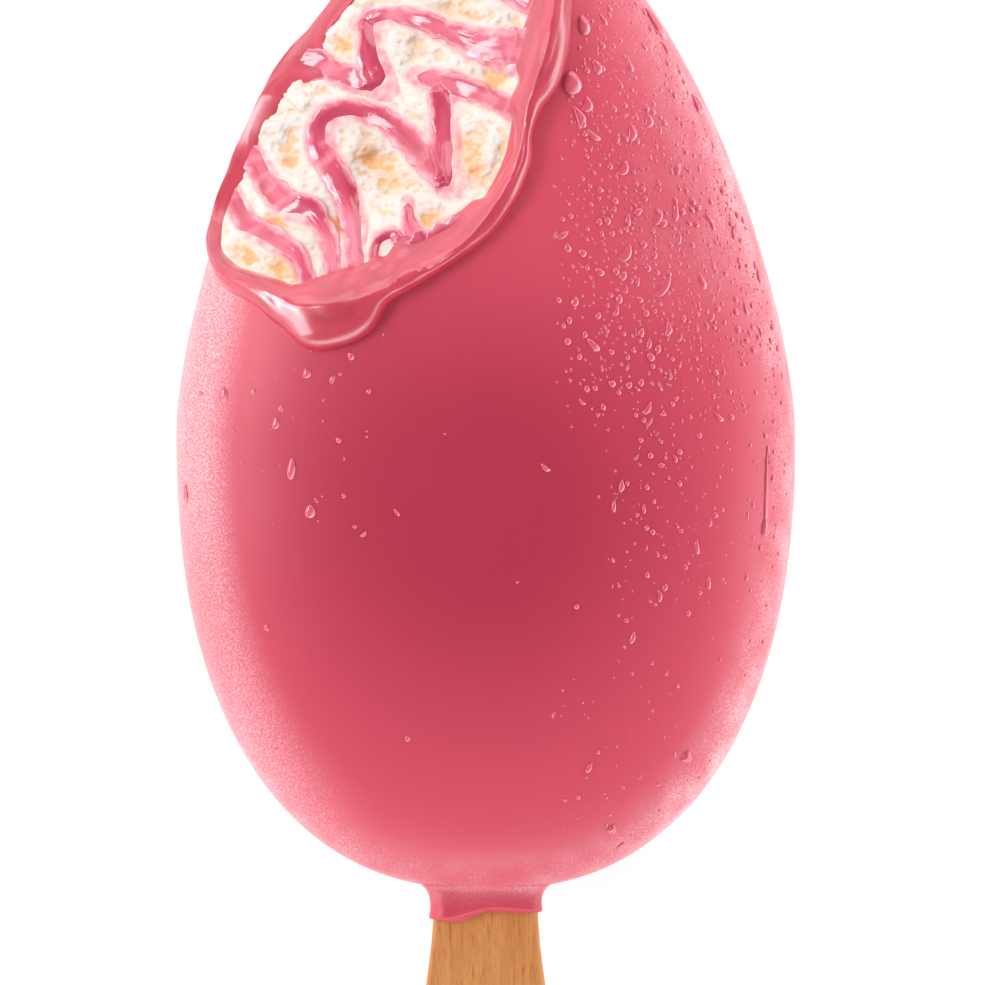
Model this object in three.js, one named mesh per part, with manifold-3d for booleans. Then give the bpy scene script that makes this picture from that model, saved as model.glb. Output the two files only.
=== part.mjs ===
// An ice pop: an egg-shaped bar of vanilla ice cream, veined with raspberry sauce, in a pink coating on a
// paddle stick. A bite has opened its upper left, and the soft sauce has rolled into a thick lip round it.
//
// Millimetres. The bar lies on its back on z = 0, with its tip towards +Y and its front towards +Z. Every
// piece is worked out in the bar's own frame, whose origin is the middle of the widest line, half way
// through the thickness; the last lines set the whole down on its back, centred on the origin.

import * as THREE from "three";
import { ImprovedNoise } from "three/addons/math/ImprovedNoise.js";
import { mergeVertices } from "three/addons/utils/BufferGeometryUtils.js";
import Module from "manifold-3d";

const wasm = await Module();
wasm.setup();

// ---- Driving dimensions --------------------------------------------------------------------------------

// The egg: from its widest line it reaches further to the tip than to the base. The exponents say how
// full each end is (2 is an ellipse), and crown how flat the front and back are. Ease rounds the change
// from one end's curve to the other's, as a share of the tip's reach.
const BAR = {
  width: 60,
  tipReach: 52.8,
  baseReach: 44,
  thickness: 27,
  tipFull: 1.365,
  ease: 0.1,
  baseFull: 2.33,
  crown: 2.4,
};
const REST_FLAT = 0.4; // how much of the back is flat, measured as the depth cut away
const COAT = 1.1; // thickness of the pink coating
const GAP = 0.3; // clearance between two pieces that touch

// The paddle stick, from its hidden end inside the ice cream to the round end that is held.
const STICK = {
  thickness: 2.5,
  neckWidth: 10,
  paddleWidth: 17,
  hiddenEnd: 16,
  flareStart: -44,
  flareEnd: -74,
  outerEnd: -97,
  edge: 0.4,
  slack: 0.1,
};

// The sleeve of coating that runs down on to the stick.
const SLEEVE = { width: 10.9, wall: 0.9, top: -38, leftEnd: -47.4, rightEnd: -46, roll: 0.6 };

// The bite: a scooped face that slopes from the front coating down to the left-hand edge. Its middle lies
// at x, y; height is that of its plane there, tiltX and tiltY the slopes, scoop the hollow below the plane.
const BITE = { x: -9.8, y: 30.7, height: 5.4, tiltX: 0.42, tiltY: -0.28, scoop: 2.2 };

// Where the bite breaks the front of the coating, as [x, y] from the lower left, under the drip, to the tip.
const FRONT_EDGE = [
  [-25.9, 17.6],
  [-22.4, 14.6],
  [-16.1, 12.2],
  [-9.3, 14.2],
  [-1.5, 19.0],
  [2.8, 25.9],
  [4.5, 33.2],
  [6.2, 41.0],
];
// From there it follows the outline over the tip and down the left, as [angle of the outline, height].
const RIM = [
  [83.5, 5],
  [92, -1],
  [102, -4.4],
  [112, -4.6],
  [122, -2.6],
  [134, -1.6],
  [142, 0.6],
];

// The lip of sauce round the bite. Each row: the angle seen from the bite's middle, how far the lip lies
// over the coating, how far over the ice cream, and how high it stands.
const LIP = [
  [-180, 1.3, 1.0, 1.5],
  [-160, 1.3, 1.0, 1.2],
  [-145, 1.8, 1.4, 1.4],
  [-134, 2.1, 1.6, 1.9],
  [-124, 2.6, 1.8, 2.1],
  [-112, 4.4, 2.2, 2.5],
  [-104, 4.3, 2.6, 2.5],
  [-90, 2.6, 2.8, 2.1],
  [-70, 1.7, 2.4, 1.8],
  [-48, 1.6, 1.6, 1.7],
  [-30, 2.2, 1.2, 1.8],
  [-12, 1.6, 1.1, 1.7],
  [8, 1.8, 1.1, 1.7],
  [24, 2.6, 1.2, 1.9],
  [42, 1.9, 1.2, 1.7],
  [62, 1.5, 1.1, 1.4],
  [120, 1.2, 1.0, 1.1],
  [158, 1.4, 1.0, 1.7],
];

// The raspberry veins, each a chain of [x, y, width] along the face of the bite. A vein's first chain is its
// stem and the others branch from it.
const VEINS = {
  raspberry_vein_upper: [
    [[-21.9, 35.6, 1.8], [-18.0, 36.8, 2.1], [-14.6, 35.3, 1.7], [-10.4, 34.0, 2.1]],
    [[-10.6, 33.6, 2.3], [-11.1, 37.5, 2.0], [-11.5, 41.2, 1.4]],
    [[-12.4, 39.8, 1.4], [-8.3, 40.7, 1.3], [-4.0, 39.2, 1.6], [-0.1, 37.6, 2.2], [4.2, 37.0, 2.6]],
  ],
  raspberry_vein_middle: [
    [[-3.0, 23.8, 1.5], [-8.0, 29.3, 2.0], [-13.2, 31.6, 1.8], [-16.1, 29.3, 2.2], [-14.0, 25.0, 2.2],
      [-12.5, 20.0, 1.8], [-12.2, 15.4, 1.6]],
    [[-3.6, 23.8, 1.6], [-3.9, 28.6, 2.0], [-4.0, 34.4, 1.8]],
    [[-6.6, 34.8, 1.1], [-2.7, 33.6, 1.6], [0.2, 32.5, 1.6], [4.4, 31.0, 1.8]],
  ],
  raspberry_vein_left: [
    [[-24.6, 28.6, 1.4], [-21.9, 26.3, 1.7], [-20.2, 22.9, 2.0], [-16.3, 21.1, 1.7], [-14.7, 16.8, 1.3],
      [-14.6, 13.2, 1.3]],
  ],
  raspberry_vein_low: [
    [[-26.2, 25.6, 1.2], [-23.8, 22.6, 1.4], [-22.2, 19.9, 1.7], [-18.4, 18.1, 1.4], [-17.1, 13.0, 1.3]],
  ],
  raspberry_vein_curl: [[[-10.3, 14.8, 0.9], [-10.6, 17.8, 0.9], [-9.5, 19.5, 1.1], [-8.3, 18.8, 1.0]]],
  raspberry_vein_hook: [[[-7.6, 22.6, 1.0], [-7.2, 20.2, 1.3], [-6.3, 18.6, 1.6], [-4.2, 16.4, 1.9]]],
  raspberry_vein_tip: [
    [[-17.0, 41.4, 1.4], [-11.5, 45.6, 1.8], [-6.2, 46.4, 1.7], [-1.5, 44.2, 1.5], [2.6, 42.6, 1.5],
      [6.4, 40.4, 1.7]],
  ],
};
const VEIN_PROUD = 0.35; // how far a vein stands out of the bitten face
const CHANNEL_PROUD = 4; // the ice cream is open above a vein, so that no crag closes over it
const VEIN_DEPTH = 5; // how deep a vein runs into the ice cream
const VEIN_SIDES = 6;

// Torn ice cream: crags this high and this far apart, with finer ones on top.
const CRAGS = [
  { spacing: 6.5, height: 1.5 },
  { spacing: 3, height: 0.9 },
];

// How finely each surface is divided: columns and rows, or sections and sides.
const FINE = {
  coating: [50, 28],
  hollow: [36, 18],
  clearance: [48, 28],
  cut: [16, 18],
  crags: [29, 32],
  lip: [64, 8],
  lipRoom: [60, 8],
};

// ---- The egg -------------------------------------------------------------------------------------------

// Towards the tip the half width is sqrt(1 - closing) of the widest: closing grows from 0 at the widest line
// to 1 at the tip. tipClosing gives it for a height, and tipHeight the height for it, as shares of the reach.
const eased = BAR.ease ** BAR.tipFull;
const closingSpan = (1 + BAR.ease ** 2) ** (BAR.tipFull / 2) - eased;
const tipClosing = (up) => ((up ** 2 + BAR.ease ** 2) ** (BAR.tipFull / 2) - eased) / closingSpan;
const tipHeight = (closing) =>
  Math.sqrt((closing * closingSpan + eased) ** (2 / BAR.tipFull) - BAR.ease ** 2);

// How far the outline is from the middle of the widest line, at an angle seen from the front.
function outlineRadius(angle) {
  const [c, s] = [Math.abs(Math.cos(angle)), Math.abs(Math.sin(angle))];
  const half = BAR.width / 2;
  const isInside =
    Math.sin(angle) > 0
      ? (r) => ((r * c) / half) ** 2 + tipClosing((r * s) / BAR.tipReach) < 1
      : (r) => ((r * c) / half) ** BAR.baseFull + ((r * s) / BAR.baseReach) ** BAR.baseFull < 1;
  let [inside, outside] = [0, BAR.tipReach + BAR.width];
  for (let i = 0; i < 40; i++) {
    const r = (inside + outside) / 2;
    if (isInside(r)) inside = r;
    else outside = r;
  }
  return inside;
}

// 0 in the middle of the bar, 1 on its surface.
function depthIn(p) {
  const out = Math.hypot(p.x, p.y) / outlineRadius(Math.atan2(p.y, p.x));
  return out ** BAR.crown + (Math.abs(p.z) / (BAR.thickness / 2)) ** BAR.crown;
}

// Height of the front of the coating over the middle plane, at a point of the plan inside the outline.
function frontHeight(x, y) {
  const out = Math.hypot(x, y) / outlineRadius(Math.atan2(y, x));
  return (BAR.thickness / 2) * Math.max(0, 1 - out ** BAR.crown) ** (1 / BAR.crown);
}

// Draws a point in or out to the surface of the bar, along its line from the middle.
const onSurface = (p) => p.multiplyScalar(depthIn(p) ** (-1 / BAR.crown));

function outwardAt(p) {
  const step = 0.01;
  const slope = ["x", "y", "z"].map((axis) => {
    const [ahead, behind] = [p.clone(), p.clone()];
    ahead[axis] += step;
    behind[axis] -= step;
    return depthIn(ahead) - depthIn(behind);
  });
  return new THREE.Vector3(...slope).normalize();
}

// ---- Solids --------------------------------------------------------------------------------------------

// Moves each vertex of a geometry to where place(vertex) puts it.
function shaped(geometry, place) {
  const at = geometry.getAttribute("position");
  const p = new THREE.Vector3();
  for (let i = 0; i < at.count; i++) {
    place(p.fromBufferAttribute(at, i));
    at.setXYZ(i, p.x, p.y, p.z);
  }
  return geometry;
}

function solid(geometry) {
  geometry.deleteAttribute("normal");
  geometry.deleteAttribute("uv");
  const merged = mergeVertices(geometry, 1e-3);
  return new wasm.Manifold(
    new wasm.Mesh({
      numProp: 3,
      vertProperties: merged.getAttribute("position").array,
      triVerts: new Uint32Array(merged.index.array),
    }),
  );
}

// The largest body of a solid, without the crumbs a cut can leave.
function largest(cut) {
  return cut.decompose().reduce((a, b) => (a.volume() > b.volume() ? a : b));
}

function mesh(name, made, material) {
  const { vertProperties, triVerts } = made.getMesh();
  const geometry = new THREE.BufferGeometry()
    .setAttribute("position", new THREE.BufferAttribute(vertProperties, 3))
    .setIndex(new THREE.BufferAttribute(triVerts, 1));
  geometry.computeVertexNormals();
  const node = new THREE.Mesh(geometry, material);
  node.name = name;
  return node;
}

// The bar with its surface moved inwards by shrink.
function egg(shrink, [columns, rows]) {
  const ball = new THREE.SphereGeometry(1, columns, rows).rotateX(Math.PI / 2);
  const half = BAR.width / 2 - shrink;
  const signed = (value, power) => Math.sign(value) * Math.abs(value) ** power;
  return solid(
    shaped(ball, (p) => {
      const ring = Math.hypot(p.x, p.y) || 1;
      const out = ring ** (2 / BAR.crown);
      const [c, s] = [p.x / ring, p.y / ring];
      const up = (BAR.thickness / 2 - shrink) * signed(p.z, 2 / BAR.crown);
      if (s > 0) p.set(half * out * c, (BAR.tipReach - shrink) * out * tipHeight(s ** 2), up);
      else {
        const x = half * signed(c, 2 / BAR.baseFull);
        const y = (BAR.baseReach - shrink) * signed(s, 2 / BAR.baseFull);
        p.set(out * x, out * y, up);
      }
    }),
  );
}

// ---- The bite ------------------------------------------------------------------------------------------

const biteMiddle = new THREE.Vector3(BITE.x, BITE.y, BITE.height);

// The edge of the bite on the coating, as points sorted by their angle round the bite's middle.
function tracedEdge() {
  const front = FRONT_EDGE.map(([x, y]) => new THREE.Vector3(x, y, frontHeight(x, y)));
  const rim = RIM.map(([degrees, height]) => {
    const angle = THREE.MathUtils.degToRad(degrees);
    const r = outlineRadius(angle);
    return onSurface(new THREE.Vector3(r * Math.cos(angle), r * Math.sin(angle), height));
  });
  return new THREE.CatmullRomCurve3([...front, ...rim], true, "centripetal")
    .getSpacedPoints(480)
    .slice(0, -1)
    .map(onSurface)
    .map((p) => ({
      angle: Math.atan2(p.y - BITE.y, p.x - BITE.x),
      radius: Math.hypot(p.x - BITE.x, p.y - BITE.y),
      height: p.z,
    }))
    .sort((a, b) => a.angle - b.angle);
}
const EDGE = tracedEdge();

// Distance from the bite's middle to its edge, seen from the front, and the edge's height there.
function edgeAt(angle) {
  const turn = 2 * Math.PI;
  const a = ((((angle + Math.PI) % turn) + turn) % turn) - Math.PI;
  let next = EDGE.findIndex((e) => e.angle > a);
  if (next < 0) next = 0;
  const [low, high] = [EDGE[(next + EDGE.length - 1) % EDGE.length], EDGE[next]];
  const span = (high.angle - low.angle + turn) % turn;
  const share = span ? ((a - low.angle + turn) % turn) / span : 0;
  return {
    radius: THREE.MathUtils.lerp(low.radius, high.radius, share),
    height: THREE.MathUtils.lerp(low.height, high.height, share),
  };
}

const planeHeight = (dx, dy) => BITE.height + BITE.tiltX * dx + BITE.tiltY * dy;

// Height of the bitten face: the plane, drawn to the bite's edge all round and hollowed in the middle.
function biteHeight(x, y) {
  const [dx, dy] = [x - BITE.x, y - BITE.y];
  const angle = Math.atan2(dy, dx);
  const edge = edgeAt(angle);
  const share = (Math.hypot(dx, dy) / edge.radius) ** 2;
  const lift = edge.height - planeHeight(edge.radius * Math.cos(angle), edge.radius * Math.sin(angle));
  return planeHeight(dx, dy) + lift * share - BITE.scoop * (1 - share);
}

// The crags fade out towards the edge, where the sauce has smoothed them.
const noise = new ImprovedNoise();
function cragHeight(x, y) {
  const [dx, dy] = [x - BITE.x, y - BITE.y];
  const share = Math.hypot(dx, dy) / edgeAt(Math.atan2(dy, dx)).radius;
  const calm = THREE.MathUtils.smoothstep(1 - share, 0.02, 0.2);
  return CRAGS.reduce(
    (sum, c, i) => sum + calm * c.height * noise.noise(x / c.spacing, y / c.spacing, 3.7 * i),
    0,
  );
}

// Everything above the bitten face, which lifted by some clearance cuts or keeps clear of a piece.
function aboveBite(heightAt, lift, [columns, rows]) {
  const block = { left: -33, right: 12, bottom: 8, top: 57, ceiling: 30 };
  const [width, length] = [block.right - block.left, block.top - block.bottom];
  const box = new THREE.BoxGeometry(width, length, 2, columns, rows, 1);
  return solid(
    shaped(box, (p) => {
      p.x += (block.left + block.right) / 2;
      p.y += (block.bottom + block.top) / 2;
      p.z = p.z > 0 ? block.ceiling : Math.min(heightAt(p.x, p.y) + lift, block.ceiling - 1);
    }),
  );
}

// ---- The stick and its sleeve --------------------------------------------------------------------------

function stick(clear) {
  const { thickness, neckWidth, paddleWidth, hiddenEnd, flareStart, flareEnd, outerEnd, edge } = STICK;
  const [neck, paddle] = [neckWidth / 2 + clear - edge, paddleWidth / 2 + clear - edge];
  const top = hiddenEnd + clear - edge - neck;
  const bottom = outerEnd - clear + edge + paddle;
  const bend = (flareStart - flareEnd) / 3;
  const outline = new THREE.Shape();
  outline.absarc(0, top, neck, 0, Math.PI, false);
  outline.lineTo(-neck, flareStart);
  outline.bezierCurveTo(-neck, flareStart - bend, -paddle, flareEnd + bend, -paddle, flareEnd);
  outline.absarc(0, bottom, paddle, Math.PI, 2 * Math.PI, false);
  outline.lineTo(paddle, flareEnd);
  outline.bezierCurveTo(paddle, flareEnd + bend, neck, flareStart - bend, neck, flareStart);
  outline.closePath();
  const plank = new THREE.ExtrudeGeometry(outline, {
    depth: thickness + 2 * clear - 2 * edge,
    bevelThickness: edge,
    bevelSize: edge,
    bevelSegments: 1,
    curveSegments: 10,
  });
  return solid(plank.translate(0, 0, edge - thickness / 2 - clear));
}

function sleeve() {
  const { width, wall, top, leftEnd, rightEnd, roll } = SLEEVE;
  const half = width / 2 - roll;
  const [left, right] = [leftEnd + roll, rightEnd + roll];
  const outline = new THREE.Shape();
  outline.moveTo(half, top);
  outline.lineTo(-half, top);
  outline.lineTo(-half, left + 1.4);
  outline.bezierCurveTo(-half, left, -half + 0.6, left, -half + 1.4, left);
  outline.bezierCurveTo(-half + 4, left, 0, right - 0.2, half - 0.8, right);
  outline.bezierCurveTo(half, right, half, right + 0.4, half, right + 1);
  outline.closePath();
  const thickness = STICK.thickness + 2 * wall;
  const band = new THREE.ExtrudeGeometry(outline, {
    depth: thickness - 2 * roll,
    bevelThickness: roll,
    bevelSize: roll,
    bevelSegments: 2,
    curveSegments: 4,
  });
  return solid(band.translate(0, 0, roll - thickness / 2));
}

// ---- The lip and the veins -----------------------------------------------------------------------------

// Sizes of the lip at an angle round the bite, eased from one row of LIP to the next.
function lipAt(angle) {
  const a = THREE.MathUtils.radToDeg(angle);
  const degrees = ((((a + 180) % 360) + 360) % 360) - 180;
  const next = LIP.findIndex((row) => row[0] > degrees);
  const [low, high] = next < 0 ? [LIP.at(-1), LIP[0]] : [LIP[next - 1], LIP[next]];
  const end = next < 0 ? high[0] + 360 : high[0];
  const share = THREE.MathUtils.smoothstep(degrees, low[0], end);
  return [1, 2, 3].map((i) => THREE.MathUtils.lerp(low[i], high[i], share));
}

function edgePoint(angle) {
  const { radius, height } = edgeAt(angle);
  return new THREE.Vector3(BITE.x + radius * Math.cos(angle), BITE.y + radius * Math.sin(angle), height);
}

// A ring bent along the edge of the bite: each section is a lop-sided oval that lies over the broken edge.
function lipRoll(clear, [sections, sides]) {
  const ring = new THREE.TorusGeometry(2, 1, sides, sections);
  return solid(
    shaped(ring, (p) => {
      const angle = Math.atan2(p.y, p.x);
      const [sideways, up] = [Math.hypot(p.x, p.y) - 2, p.z];
      const at = edgePoint(angle);
      const outward = outwardAt(at);
      const along = edgePoint(angle + 0.05).sub(edgePoint(angle - 0.05));
      const away = along.cross(outward).normalize();
      if (away.dot(at.clone().sub(biteMiddle)) < 0) away.negate();
      const [over, inner, height] = lipAt(angle).map((size) => size + clear);
      p.copy(at).addScaledVector(away, sideways * (sideways > 0 ? over : inner));
      p.addScaledVector(outward, up * height);
    }),
  );
}

// A vein: strands along its chains, each an upright oval sunk in the bitten face. It stands proud of the face,
// and clear makes it larger all round.
function vein(chains, proud, clear) {
  const strands = chains.map((chain) => {
    const route = new THREE.CatmullRomCurve3(chain.map((point) => new THREE.Vector3(...point)));
    const ball = new THREE.SphereGeometry(1, VEIN_SIDES, chain.length * 3);
    return solid(
      shaped(ball, (p) => {
        const ring = Math.hypot(p.x, p.z);
        const share = Math.atan2(ring, p.y) / Math.PI;
        const [sideways, up] = ring > 0 ? [p.x / ring, p.z / ring] : [0, 0];
        const blunt = Math.min(1, chain.length * ring);
        const at = route.getPoint(share);
        const heading = route.getTangent(share).setZ(0).normalize();
        const half = (at.z / 2 + clear) * blunt * sideways;
        const tall = ((up > 0 ? proud : VEIN_DEPTH) + clear) * blunt * up;
        p.set(at.x - heading.y * half, at.y + heading.x * half, biteHeight(at.x, at.y) + tall);
      }),
    );
  });
  return wasm.Manifold.union(strands);
}

// ---- The pieces ----------------------------------------------------------------------------------------

const finish = (colour, roughness) =>
  new THREE.MeshStandardMaterial({ color: colour, roughness, metalness: 0 });
const COATING = finish(0xd9566b, 0.45);
const ICE_CREAM = finish(0xfbf0dc, 0.7);
const SAUCE = finish(0xe0466c, 0.25);
const LIP_SAUCE = finish(0xdd5b70, 0.25);
const WOOD = finish(0xd29a5b, 0.65);

const restCut = new THREE.BoxGeometry(200, 200, 20).translate(0, 0, REST_FLAT - BAR.thickness / 2 - 10);
const core = egg(COAT + GAP, FINE.hollow);
const veins = Object.entries(VEINS);
const channels = wasm.Manifold.union(veins.map(([, chains]) => vein(chains, CHANNEL_PROUD, GAP)));
const lipRoom = lipRoll(GAP, FINE.lipRoom);
const eatenBar = egg(-GAP, FINE.clearance).subtract(aboveBite(biteHeight, GAP, FINE.cut));

const bar = new THREE.Group();
bar.add(
  mesh(
    "coating",
    largest(
      egg(0, FINE.coating)
        .add(sleeve())
        .subtract(solid(restCut))
        .subtract(egg(COAT, FINE.hollow))
        .subtract(stick(STICK.slack))
        .subtract(aboveBite(biteHeight, 0, FINE.cut)),
    ),
    COATING,
  ),
  mesh(
    "ice_cream",
    largest(
      core
        .subtract(aboveBite((x, y) => biteHeight(x, y) + cragHeight(x, y), 0, FINE.crags))
        .subtract(channels)
        .subtract(stick(GAP)),
    ),
    ICE_CREAM,
  ),
  mesh("sauce_lip", largest(lipRoll(0, FINE.lip).subtract(eatenBar)), LIP_SAUCE),
  ...veins.map(([name, chains]) =>
    mesh(name, largest(vein(chains, VEIN_PROUD, 0).intersect(core).subtract(lipRoom)), SAUCE),
  ),
  mesh("stick", stick(0), WOOD),
);

// Down on its back, with the origin under the middle of the whole length.
const extent = new THREE.Box3().setFromObject(bar);
bar.position.set(0, -(extent.min.y + extent.max.y) / 2, -extent.min.z);

export default bar;
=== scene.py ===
# %% [markdown]
# # An ice pop with a bite out of it
#
# The object is an egg-shaped bar of vanilla ice cream with raspberry sauce running through it, dipped in a
# pink coating, on a paddle stick. Someone has bitten the upper left, and the soft sauce has rolled up into a
# thick lip round the bite. This lesson takes the plain solids of the frame and gives each one its real
# surface: the smooth frosted coat, the torn ice cream, the wet sauce, the wood and the beads of water.

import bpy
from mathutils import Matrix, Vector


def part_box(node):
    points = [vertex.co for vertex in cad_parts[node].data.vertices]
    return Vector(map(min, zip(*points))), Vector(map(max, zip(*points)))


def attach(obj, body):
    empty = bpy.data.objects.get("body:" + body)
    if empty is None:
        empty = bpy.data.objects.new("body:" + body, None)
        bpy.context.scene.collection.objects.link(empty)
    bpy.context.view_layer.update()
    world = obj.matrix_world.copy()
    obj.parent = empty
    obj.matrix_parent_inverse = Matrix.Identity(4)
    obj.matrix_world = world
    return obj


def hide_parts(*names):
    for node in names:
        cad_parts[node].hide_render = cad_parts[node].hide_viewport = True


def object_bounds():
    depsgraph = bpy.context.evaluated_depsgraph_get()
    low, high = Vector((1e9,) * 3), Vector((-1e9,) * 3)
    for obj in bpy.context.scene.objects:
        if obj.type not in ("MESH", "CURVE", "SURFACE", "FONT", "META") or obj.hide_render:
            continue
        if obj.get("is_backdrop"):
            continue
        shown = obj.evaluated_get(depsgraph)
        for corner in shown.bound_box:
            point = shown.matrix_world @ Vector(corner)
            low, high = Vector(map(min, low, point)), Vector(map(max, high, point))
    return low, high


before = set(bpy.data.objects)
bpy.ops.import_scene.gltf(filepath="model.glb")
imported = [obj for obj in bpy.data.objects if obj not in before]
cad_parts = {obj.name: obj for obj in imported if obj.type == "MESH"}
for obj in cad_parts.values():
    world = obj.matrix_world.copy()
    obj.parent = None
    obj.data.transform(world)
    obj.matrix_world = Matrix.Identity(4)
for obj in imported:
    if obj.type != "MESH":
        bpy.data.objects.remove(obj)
cad_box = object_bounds()
print("The frame holds", ", ".join(sorted(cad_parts)))

# %% [markdown]
# ## The bar's own frame
#
# A maker thinks of the bar from its widest line, half way through its thickness, and in millimetres. Every
# piece below is shaped in that frame and set into the real one by a single move at the end. The stick gives
# the move: its hidden end stands a known way above the widest line, and it lies half way through the bar.

import bmesh
import bpy
import numpy as np
from mathutils import Matrix, Vector, kdtree, noise

MM = 0.001
STICK_HIDDEN_END = 16

stick_low, stick_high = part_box("stick")
middle = Vector((0, stick_high.y - STICK_HIDDEN_END * MM, (stick_low.z + stick_high.z) / 2))
print("The middle of the bar is at", [round(x / MM, 2) for x in middle], "mm")


# %% [markdown]
# ## A few small tools
#
# All the soft shapes here are made the same way: a bmesh operator gives a plain ball, ring or grid, and a
# formula then says where each of its points belongs. Working out the formula for all points at once, as
# columns of numbers, is much faster than a loop.

# %% Shape and tint a bmesh
def points_of(bm):
    """The points of bm as rows of x, y, z."""
    return np.array([v.co for v in bm.verts])


def shape(bm, formula):
    """Moves every point of bm to where formula puts it."""
    for vert, place in zip(bm.verts, formula(points_of(bm))):
        vert.co = place
    return bm


def tint(bm, name, values):
    """Stores one number at each point of bm, which a material reads by its name."""
    layer = bm.verts.layers.float.new(name)
    for vert, value in zip(bm.verts, values):
        vert[layer] = value


def facing_out(bm):
    """Turns all faces of bm outwards."""
    bmesh.ops.recalc_face_normals(bm, faces=bm.faces)
    return bm


# %% Put it into the scene
def as_mesh(bm, name):
    """Writes bm into a new mesh and frees it."""
    mesh = bpy.data.meshes.new(name)
    bm.to_mesh(mesh)
    bm.free()
    return mesh


def into_scene(name, data):
    """A new object in the scene, which shows a mesh, a lamp or a camera."""
    thing = bpy.data.objects.new(name, data)
    bpy.context.scene.collection.objects.link(thing)
    return thing


def hand_over(bm, name, finish, slot, *nodes, sharp=np.radians(50)):
    """Sets a shaped bmesh into the frame as a piece of the object that stands for some CAD nodes."""
    bmesh.ops.scale(bm, vec=(MM, MM, MM), verts=bm.verts)
    bmesh.ops.translate(bm, vec=middle, verts=bm.verts)
    mesh = as_mesh(bm, name)
    mesh.materials.append(finish)
    mesh.shade_smooth()
    mesh.set_sharp_from_angle(angle=sharp)
    piece = into_scene(name, mesh)
    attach(piece, "root")
    if nodes:
        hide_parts(*nodes)
    mesh.calc_loop_triangles()
    print(f"{name}: {len(mesh.loop_triangles)} triangles")
    return piece


# %% An even ease and smooth noise
def smooth(value, low, high):
    """0 below low, 1 above high and an even ease between them."""
    t = np.clip((value - low) / (high - low), 0, 1)
    return t * t * (3 - 2 * t)


def waves(x, y, z):
    """Smooth noise at each place, whose waves are about one unit long."""
    places = np.column_stack(np.broadcast_arrays(x, y, z))
    return np.array([noise.noise(place) for place in places.tolist()])


# %% [markdown]
# Some pieces are cut by others: the coat by the ice cream inside it, the ice cream by the bite. A Boolean
# modifier does that, and its Manifold solver is quick on closed shapes. The cutters are only needed for a
# moment, so the cut is read back at once and they are thrown away.

# %% Cut and join closed shapes
def finished(thing):
    """What an object's modifiers make of it, as a bmesh; the object itself is thrown away."""
    result = bmesh.new()
    result.from_mesh(thing.evaluated_get(bpy.context.evaluated_depsgraph_get()).data)
    bpy.data.meshes.remove(thing.data)
    return result


def carve(blank, *steps):
    """Cuts or joins bmeshes to a blank, each step being an operation and a bmesh, and gives the result."""
    blocks = [blank, *(tool for _, tool in steps)]
    body, *tools = [into_scene("carving", as_mesh(bm, "carving")) for bm in blocks]
    for (operation, _), tool in zip(steps, tools):
        cut = body.modifiers.new(operation, "BOOLEAN")
        cut.operation, cut.solver, cut.object = operation, "MANIFOLD", tool
    result = finished(body)
    for tool in tools:
        bpy.data.meshes.remove(tool.data)
    return result


# %% [markdown]
# ## The egg
#
# Seen from the front the bar is an egg that reaches further to the tip than to the stick. Below its widest
# line it is a full superellipse. Above, it closes by a rule that starts as gently as an ellipse, so that no
# crease shows across the bar where the two halves meet. From the side it is a flattish superellipse.

# %% The egg's formula
HALF_WIDTH, TIP_REACH, BASE_REACH, HALF_THICK = 30, 52.8, 44, 13.5
TIP_FULL, EASE, BASE_FULL, CROWN = 1.365, 0.1, 2.33, 2.4
TINY = 1e-9

eased = EASE**TIP_FULL
closing_span = (1 + EASE**2) ** (TIP_FULL / 2) - eased


def egg(ball, shrink=0):
    """Points of a unit ball, moved on to the bar or on to a smaller bar inside it."""
    x, y, z = ball.T
    ring = np.maximum(np.hypot(x, y), TINY)
    out, c, s = ring ** (2 / CROWN), x / ring, y / ring
    tip = np.sqrt(np.maximum((s**2 * closing_span + eased) ** (2 / TIP_FULL) - EASE**2, 0))
    base = np.abs(s) ** (2 / BASE_FULL)
    across = np.where(s > 0, c, np.sign(c) * np.abs(c) ** (2 / BASE_FULL))
    along = np.where(s > 0, (TIP_REACH - shrink) * tip, -(BASE_REACH - shrink) * base)
    up = (HALF_THICK - shrink) * np.sign(z) * np.abs(z) ** (2 / CROWN)
    return np.stack([(HALF_WIDTH - shrink) * across * out, along * out, up], axis=1)


# %% Where its outline is
HALVINGS = 36


def outline_radius(angle):
    """How far the outline is from the middle of the widest line, found by halving again and again."""
    c, s = np.abs(np.cos(angle)) / HALF_WIDTH, np.sin(angle)
    inside, outside = np.zeros_like(s), np.full_like(s, 2 * TIP_REACH)
    for _ in range(HALVINGS):
        r = (inside + outside) / 2
        rise = ((r * s / TIP_REACH) ** 2 + EASE**2) ** (TIP_FULL / 2)
        tip = (r * c) ** 2 + (rise - eased) / closing_span
        base = (r * c) ** BASE_FULL + (r * np.abs(s) / BASE_REACH) ** BASE_FULL
        within = np.where(s > 0, tip, base) < 1
        inside, outside = np.where(within, r, inside), np.where(within, outside, r)
    return inside


def outline_share(x, y):
    """How far out a place is, seen from the front: 0 in the middle and 1 on the outline."""
    return np.hypot(x, y) / outline_radius(np.arctan2(y, x))


print("The widest line is", 2 * outline_radius(np.zeros(1))[0], "mm across")


# %% How deep a place lies, and which way is out
def depth_in(p):
    """0 in the middle of the bar and 1 on its surface."""
    x, y, z = p.T
    return outline_share(x, y) ** CROWN + (np.abs(z) / HALF_THICK) ** CROWN


def on_surface(p):
    """Each place moved straight out from the middle, on to the surface."""
    return p * depth_in(p)[:, None] ** (-1 / CROWN)


def unit(p):
    """Each direction with a length of 1."""
    return p / np.maximum(np.linalg.norm(p, axis=1), TINY)[:, None]


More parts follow.
